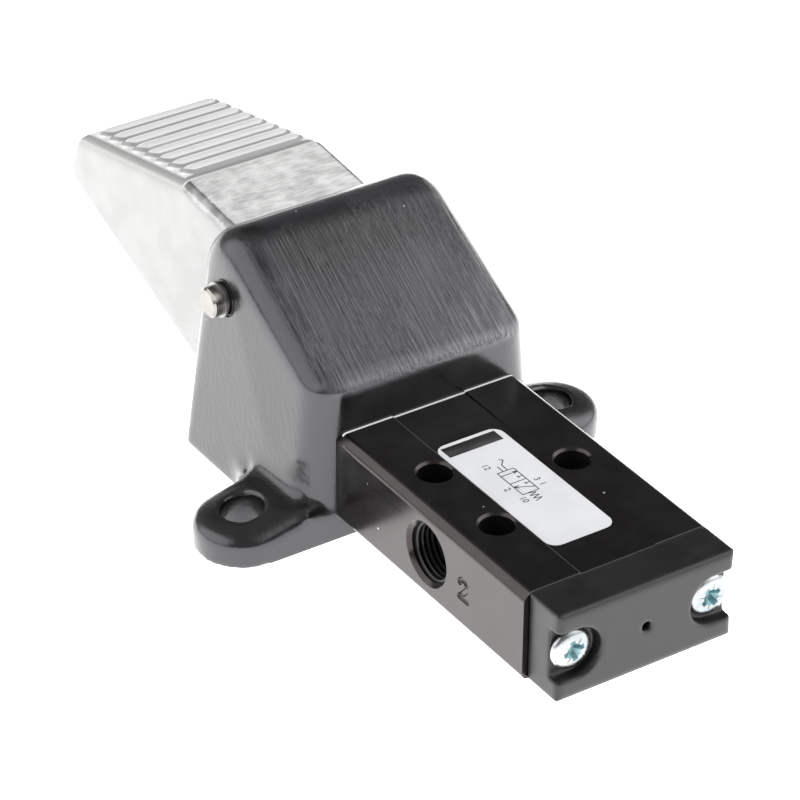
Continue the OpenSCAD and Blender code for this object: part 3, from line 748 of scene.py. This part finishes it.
cap_black, tree, shader = new_material("cap_black")
place = add_node(tree, "TexCoord").outputs["Object"]
grain = grain_of(tree, place, 1600)
tree.links.new(bump_of(tree, grain["Fine"], cap_grain_height), shader.inputs["Normal"])
tree.links.new(
    tone_of(tree, grain["Broad"], (0.008, 0.0075, 0.008), (0.012, 0.0112, 0.012)), shader.inputs["Base Color"]
)
tree.links.new(ramp_of(tree, grain["Broad"], 0, 1, 0.34, 0.42), shader.inputs["Roughness"])
shader.inputs["IOR"].default_value = 1.42
cap.data.materials.append(cap_black)


# Screws
# Four pan head steel screws with cross recesses, cold headed, thread rolled and zinc plated. Two hold the
# end cap and two the housing.
head_radius = 3.5 * MM
head_height = 1.5 * MM
head_rim = 0.55 * MM
crown_radius = 1.2 * MM
dome_steps = 10
head_sides = 48
head_sharp_angle = math.radians(40)
shank_length = 14 * MM
shank_root = 1.6 * MM
shank_crest = 1.95 * MM
shank_pitch = 0.7 * MM
shank_turns = 17
shank_steps = 20
shank_point = 0.4 * MM
thread_end = 0.8 * MM
recess_width = 1.15 * MM
recess_length = 4.5 * MM
recess_depth = 1.3 * MM
recess_middle = 1.35 * MM
recess_taper = 0.6
middle_taper = 0.6
recess_skin = 0.04 * MM
mark_width = 0.16 * MM
mark_length = 4.9 * MM
mark_depth = 0.12 * MM
zinc_grain_height = 0.003 * MM


def slot_cutter(name, width, length, depth, taper, turn):
    """A bar through the top of a screw's head, narrower at its foot."""
    bm = bmesh.new()
    bmesh.ops.create_cube(bm, size=1)
    foot = [v for v in bm.verts if v.co.z < 0]
    bmesh.ops.scale(bm, vec=(taper, taper, 1), verts=foot)
    bmesh.ops.scale(bm, vec=(length, width, 2 * depth), verts=bm.verts)
    bmesh.ops.rotate(bm, cent=(0, 0, 0), matrix=Matrix.Rotation(turn, 3, "Z"), verts=bm.verts)
    bmesh.ops.translate(bm, vec=(0, 0, head_height), verts=bm.verts)
    return object_from_bmesh(name, bm)


def dome_height(radius):
    """Height of the head's domed top at a distance from the screw's axis."""
    if radius <= crown_radius:
        return head_height
    part = min(1, (radius - crown_radius) / (head_radius - crown_radius))
    return head_rim + (head_height - head_rim) * math.sqrt(1 - part * part)


bm = bmesh.new()
outline = [(0, head_height)]
for i in range(dome_steps + 1):
    radius = crown_radius + (head_radius - crown_radius) * math.sin(math.pi / 2 * i / dome_steps)
    outline.append((radius, dome_height(radius)))
outline += [
    (head_radius, head_rim / 2), (head_radius - head_rim / 2, 0), (shank_root, 0),
    (shank_root, shank_point - shank_length), (shank_root - shank_point, -shank_length), (0, -shank_length),
]
chain = [bm.verts.new((r, 0, z)) for r, z in outline]
edges = [bm.edges.new(pair) for pair in zip(chain, chain[1:])]
bmesh.ops.spin(
    bm, geom=chain + edges, cent=(0, 0, 0), axis=(0, 0, 1), dvec=(0, 0, 0), angle=2 * math.pi,
    steps=head_sides, use_merge=True,
)
bmesh.ops.remove_doubles(bm, verts=bm.verts, dist=same_place)
bmesh.ops.recalc_face_normals(bm, faces=bm.faces)
screw = object_from_bmesh("screw", bm)
bm = bmesh.new()
bmesh.ops.create_cone(
    bm, cap_ends=True, segments=16, radius1=(1 - middle_taper) * recess_middle,
    radius2=(1 + middle_taper) * recess_middle, depth=2 * recess_depth,
    matrix=Matrix.Translation((0, 0, head_height)),
)
cut(screw, [
    slot_cutter("recess_1", recess_width, recess_length, recess_depth, recess_taper, 0),
    slot_cutter("recess_2", recess_width, recess_length, recess_depth, recess_taper, math.pi / 2),
    object_from_bmesh("recess_middle", bm),
    slot_cutter("mark_1", mark_width, mark_length, mark_depth, 1, math.pi / 4),
    slot_cutter("mark_2", mark_width, mark_length, mark_depth, 1, -math.pi / 4),
])
screw_mesh = screw.data
bpy.data.objects.remove(screw)
for face in screw_mesh.polygons:
    radius = face.center.xy.length
    sunk = 0 < face.center.z < dome_height(radius) - recess_skin
    face.material_index = int(sunk and radius < recess_length / 2)


def plated(name, dark, light, roughness, metallic):
    """Zinc plate with a fine grain and slow changes of tone."""
    material, tree, shader = new_material(name)
    place = add_node(tree, "TexCoord").outputs["Object"]
    grain = grain_of(tree, place, 1800)
    tree.links.new(bump_of(tree, grain["Fine"], zinc_grain_height), shader.inputs["Normal"])
    tree.links.new(tone_of(tree, grain["Broad"], dark, light), shader.inputs["Base Color"])
    rough = ramp_of(tree, grain["Fine"], *grain_contrast, roughness, roughness + 0.1)
    tree.links.new(rough, shader.inputs["Roughness"])
    shader.inputs["Metallic"].default_value = metallic
    return material


screw_zinc = plated("screw_zinc", (0.26, 0.275, 0.28), (0.34, 0.35, 0.355), 0.2, 1)
recess_zinc = plated("recess_zinc", (0.2, 0.34, 0.37), (0.36, 0.52, 0.55), 0.3, 0.35)
screw_turns = {
    "end_cap_screw_left": 0.2,
    "end_cap_screw_right": 0.55,
    "housing_screw_left": 0.9,
    "housing_screw_right": 0.3,
}
for node, turn in screw_turns.items():
    low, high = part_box(node)
    middle_y, middle_z = (low.y + high.y) / 2, (low.z + high.z) / 2
    if node.startswith("end_cap"):
        seat_x, facing = high.x - head_height, math.pi / 2
    else:
        seat_x, facing = low.x + head_height, -math.pi / 2
    seat = Matrix.Translation((seat_x, middle_y, middle_z)) @ Matrix.Rotation(facing, 4, "Y")
    bm = bmesh.new()
    thread_ridge(bm, shank_root - thread_foot, shank_crest, shank_pitch, shank_turns, shank_steps)
    bmesh.ops.translate(bm, verts=bm.verts, vec=(0, 0, thread_end - shank_length))
    bm.from_mesh(screw_mesh)
    bm.transform(seat @ Matrix.Rotation(turn, 4, "Z"))
    piece = object_from_bmesh("zinc_" + node, bm)
    piece.data.set_sharp_from_angle(angle=head_sharp_angle)
    piece.data.materials.append(screw_zinc)
    piece.data.materials.append(recess_zinc)
    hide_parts(node)
    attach(piece, "valve")


# Pedal
# A bare aluminium die casting, hollow below, with round ribs across its tread. The flat before the hub was
# ground. The grooves round the ribs, the tread's border, the flat's near bevel and the sides are darkened
# with painted shade.
pedal_grid = 0.43 * MM
pedal_rounds = 7
crest = Vector((-44 * MM, 0, 38.9 * MM))
tread_angle = math.radians(11.63)
flat_angle = math.radians(5.24)
side_y = 13.75 * MM
rib_count = 8
rib_pitch = 3.9 * MM
first_rib = 3.2 * MM
rib_top = 1.2 * MM
rib_half = Vector((1.78 * MM, 11.85 * MM, 1.5 * MM))
rib_end = 2.2 * MM
rib_outline_half = 9.4 * MM
rib_outline_radius = 1.5 * MM
rib_outline_offset = 0.25 * MM
rib_outline_fade = 0.1 * MM
groove_end = mm(2, 2.3)
tread_start, tread_drop = mm(-0.5, -0.2), mm(-2, -0.5)
crest_groove = mm(1.6, 1.9)
border_side = mm(11.8, 12.3)
flat_start, flat_drop = mm(0, 0.3), mm(-1.5, -1.2)
bevel_inner, bevel_outer, bevel_drop = mm(12.2, 12.6), mm(13.3, 14), mm(-2.4, -1.8)
side_fade = mm(-1, -0.1)
ragged_width = 0.6 * MM
ground_side = mm(11.9, 12.6)
ground_scales = (420, 1700)
scratch_height = 0.025 * MM
pedal_grain_height = 0.02 * MM
pedal_tone = 0.88
shade_and_stain_grey, bright_metal = (0.12, 0.118, 0.116), (0.84, 0.835, 0.83)

bm = merged_copy("pedal")
on_tread_plane = Matrix.Translation(crest) @ Matrix.Rotation(-tread_angle, 4, "Y")
for i in range(rib_count):
    rib = bmesh.ops.create_uvsphere(bm, u_segments=32, v_segments=16, radius=1)["verts"]
    bmesh.ops.scale(bm, vec=(rib_half.x, rib_end, rib_half.z), verts=rib)
    for side in (-1, 1):
        end = [v for v in rib if v.co.y * side > same_place]
        bmesh.ops.translate(bm, vec=(0, side * (rib_half.y - rib_end), 0), verts=end)
    bmesh.ops.translate(bm, vec=(-first_rib - i * rib_pitch, 0, rib_top - rib_half.z), verts=rib)
    bmesh.ops.transform(bm, matrix=on_tread_plane, verts=rib)
pedal = casting("cast_pedal", bm, pedal_grid, pedal_rounds)
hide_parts("pedal")
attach(pedal, "pedal")

pedal_metal, tree, shader = new_material("pedal_metal")
place = add_node(tree, "TexCoord").outputs["Object"]
grain = grain_of(tree, place, 1300)
scuffs = grain_of(tree, place, 2600)["Broad"]
from_crest = add_node(tree, "VectorMath", {0: place, 1: crest}, operation="SUBTRACT").outputs[0]
along_tread = add_node(tree, "Mapping", {"Vector": from_crest, "Rotation": (0, tread_angle, 0)}).outputs[0]
along_flat = add_node(tree, "Mapping", {"Vector": from_crest, "Rotation": (0, -flat_angle, 0)}).outputs[0]
tread = add_node(tree, "SeparateXYZ", {0: along_tread}).outputs
flat = add_node(tree, "SeparateXYZ", {0: along_flat}).outputs
off_middle = math_of(tree, "ABSOLUTE", tread["Y"], 0)
on_tread = ramp_of(tree, tread["X"], *tread_start, 1, 0)
on_top = math_of(tree, "MULTIPLY", on_tread, ramp_of(tree, tread["Z"], *tread_drop))
# Painted shade: a grey line round each rib, a grey band across the groove before the crest, and grey along
# the tread's rounded border
rib_row = math_of(tree, "PINGPONG", math_of(tree, "ADD", tread["X"], first_rib + rib_outline_offset), rib_pitch / 2)
past_end = math_of(tree, "MAXIMUM", math_of(tree, "SUBTRACT", off_middle, rib_outline_half), 0)
off_rib = add_node(
    tree, "VectorMath", {0: add_node(tree, "CombineXYZ", {"X": rib_row, "Y": past_end}).outputs[0]},
    operation="LENGTH",
).outputs["Value"]
groove = math_of(
    tree, "MULTIPLY", ramp_of(tree, off_rib, rib_outline_radius - rib_outline_fade, rib_outline_radius + rib_outline_fade),
    ramp_of(tree, off_rib, *groove_end, 1, 0),
)
by_crest = ramp_of(tree, tread["X"], *(length - first_rib for length in crest_groove))
border = ramp_of(tree, off_middle, *border_side)
painted_shade_in_grooves = math_of(tree, "MULTIPLY", on_top, math_of(
    tree, "MAXIMUM", groove, math_of(tree, "MAXIMUM", by_crest, border)
))
past_crest = ramp_of(tree, flat["X"], *flat_start)
on_flat = math_of(tree, "MULTIPLY", past_crest, ramp_of(tree, flat["Z"], *flat_drop))
# The rounded band between the ground flat and the near side is painted grey as painted shade
ragged = sum_of(tree, (off_middle, 1), (grain["Fine"], ragged_width))
bevel = math_of(
    tree, "MULTIPLY", ramp_of(tree, ragged, *bevel_inner), ramp_of(tree, ragged, *bevel_outer, 1, 0)
)
by_flat = math_of(tree, "MULTIPLY", past_crest, ramp_of(tree, flat["Z"], *bevel_drop))
on_bevel = math_of(tree, "MULTIPLY", bevel, by_flat)
# The sides are painted darker than the top as painted shade
on_side = ramp_of(tree, off_middle, *(side_y + length for length in side_fade))
across = add_node(tree, "Mapping", {"Vector": place, "Rotation": (0, 0, math.pi / 2)}).outputs[0]
off_bevel = math_of(tree, "MULTIPLY", on_flat, ramp_of(tree, off_middle, *ground_side, 1, 0))
scratches = math_of(tree, "MULTIPLY", lines_of(tree, across, *ground_scales), off_bevel)
skin = bump_of(tree, grain["Fine"], pedal_grain_height)
tree.links.new(bump_of(tree, scratches, scratch_height, skin), shader.inputs["Normal"])
pits = specks_of(tree, place, 420)
stains = sum_of(tree, (scuffs, 0.2), (grain["Broad"], 0.13), (pits, 0.4))
marks = math_of(tree, "MULTIPLY", stains, on_flat)
# Painted shade: the grooves, the sides and the bevel band are darkened by the largest of their shares
painted_shade = 0.0
for mask, share in ((painted_shade_in_grooves, 0.6), (on_side, 0.65), (on_bevel, 0.78)):
    painted_shade = math_of(tree, "MAXIMUM", painted_shade, math_of(tree, "MULTIPLY", mask, share))
shade = sum_of(tree, (painted_shade, -1), (marks, -1), (scratches, -0.26), (on_flat, 0.22))
shade = math_of(tree, "ADD", shade, pedal_tone)
tree.links.new(tone_of(tree, shade, shade_and_stain_grey, bright_metal), shader.inputs["Base Color"])
tree.links.new(ramp_of(tree, grain["Broad"], 0, 1, 0.5, 0.4), shader.inputs["Roughness"])
shader.inputs["Metallic"].default_value = 0.3
pedal.data.materials.append(pedal_metal)


# Pivot pin and retaining rings
# A turned steel pin through the housing and the pedal's hub. A split spring steel ring, snapped into a groove
# at each end, keeps it in place.
pin_low, pin_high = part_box("pivot_pin")
pin_axis, pin_centre = (0, 1, 0), (pin_low + pin_high) / 2
turned_pin = turned_metal(
    "turned_pin", (0.2, 0.195, 0.18), (0.28, 0.27, 0.25), 0.2, 1800, pin_axis, pin_centre
)
ring_steel = turned_metal(
    "ring_steel", (0.2, 0.2, 0.19), (0.28, 0.28, 0.27), 0.3, 2500, pin_axis, pin_centre
)
paint(turned_pin, "pivot_pin")
paint(ring_steel, "retaining_ring_left", "retaining_ring_right")


# Label
# A white film sticker in the body's channel, printed in black with a plain bar, the standard symbol of a
# spring return valve with three ports, and the port numbers.
label_low, label_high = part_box("label")
ink_thickness = 0.015 * MM
line_width = 0.16 * MM
bar_width = 2.7 * MM
type_size = 1.57 * MM
film_grain_height = 0.003 * MM

label_film, tree, shader = new_material("label_film")
place = add_node(tree, "TexCoord").outputs["Object"]
grain = grain_of(tree, place, 1200)
tree.links.new(bump_of(tree, grain["Fine"], film_grain_height), shader.inputs["Normal"])
tree.links.new(
    tone_of(tree, grain["Broad"], (0.64, 0.65, 0.67), (0.68, 0.69, 0.705)), shader.inputs["Base Color"]
)
tree.links.new(ramp_of(tree, grain["Broad"], 0, 1, 0.4, 0.5), shader.inputs["Roughness"])
paint(label_film, "label")

ink = bmesh.new()


def on_label(x, y):
    """The middle of the ink's thickness at a place in millimetres from the label's rear left corner."""
    return Vector((label_low.x + x * MM, label_low.y + y * MM, label_high.z + ink_thickness / 2))


def ink_bar(start, end, width):
    """Prints a bar between two such places."""
    start, end = Vector(start), Vector(end)
    run = end - start
    made = bmesh.ops.create_cube(ink, size=1)["verts"]
    bmesh.ops.scale(ink, vec=(run.length * MM, width, ink_thickness), verts=made)
    bmesh.ops.rotate(
        ink, cent=(0, 0, 0), matrix=Matrix.Rotation(math.atan2(run.y, run.x), 3, "Z"), verts=made
    )
    bmesh.ops.translate(ink, vec=on_label(*(start + end) / 2), verts=made)


def ink_path(*points):
    """Prints thin lines from place to place."""
    for start, end in zip(points, points[1:]):
        ink_bar(start, end, line_width)


def ink_number(text, x, y):
    """Prints a number about such a place."""
    curve = bpy.data.curves.new("number", "FONT")
    curve.body = text
    curve.size = type_size
    curve.extrude = ink_thickness / 2
    curve.align_x = "CENTER"
    curve.align_y = "CENTER"
    number = bpy.data.objects.new("number", curve)
    scene.collection.objects.link(number)
    mesh = bpy.data.meshes.new_from_object(number.evaluated_get(bpy.context.evaluated_depsgraph_get()))
    bpy.data.objects.remove(number)
    mesh.transform(Matrix.Translation(on_label(x, y)))
    ink.from_mesh(mesh)


# The bar, then the symbol: two boxes, their flow paths and stops, the spring, the pedal and the numbers
ink_bar((2.1, 0.9), (2.1, 10.9), bar_width)
ink_path((11, 4.5), (17.8, 4.5), (17.8, 7.5), (11, 7.5), (11, 4.5))
ink_path((14.4, 4.5), (14.4, 7.5))
ink_path((12, 4.5), (12, 7.5))
ink_path((11.7, 6.7), (12, 7.5), (12.3, 6.7))
ink_path((13.4, 7.5), (13.4, 6.7))
ink_path((13.1, 6.7), (13.7, 6.7))
ink_path((15.4, 4.5), (16.9, 7.5))
ink_path((15.4, 5.4), (15.4, 4.5), (16.1, 5.1))
ink_path((15.4, 7.5), (15.4, 6.7))
ink_path((15.1, 6.7), (15.7, 6.7))
ink_path((17.8, 5.3), (18.2, 6.7), (18.6, 5.3), (19, 6.7), (19.4, 5.3), (19.8, 6.7), (20.2, 5.3))
ink_path((11, 5.6), (9.4, 5.6))
ink_path((11, 6.4), (9.4, 6.4), (8.3, 7.4), (7.9, 6.9))
ink_number("2", 15.4, 3.3)
ink_number("3", 15.4, 8.8)
ink_number("1", 16.9, 8.8)
ink_number("12", 8.6, 4)
ink_number("10", 19, 3.9)
printed = object_from_bmesh("label_print", ink)
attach(printed, "valve")

print_black, tree, shader = new_material("print_black")
place = add_node(tree, "TexCoord").outputs["Object"]
grain = grain_of(tree, place, 3000)
tree.links.new(tone_of(tree, grain["Fine"], (0.008,) * 3, (0.02,) * 3), shader.inputs["Base Color"])
shader.inputs["Roughness"].default_value = 0.6
printed.data.materials.append(print_black)
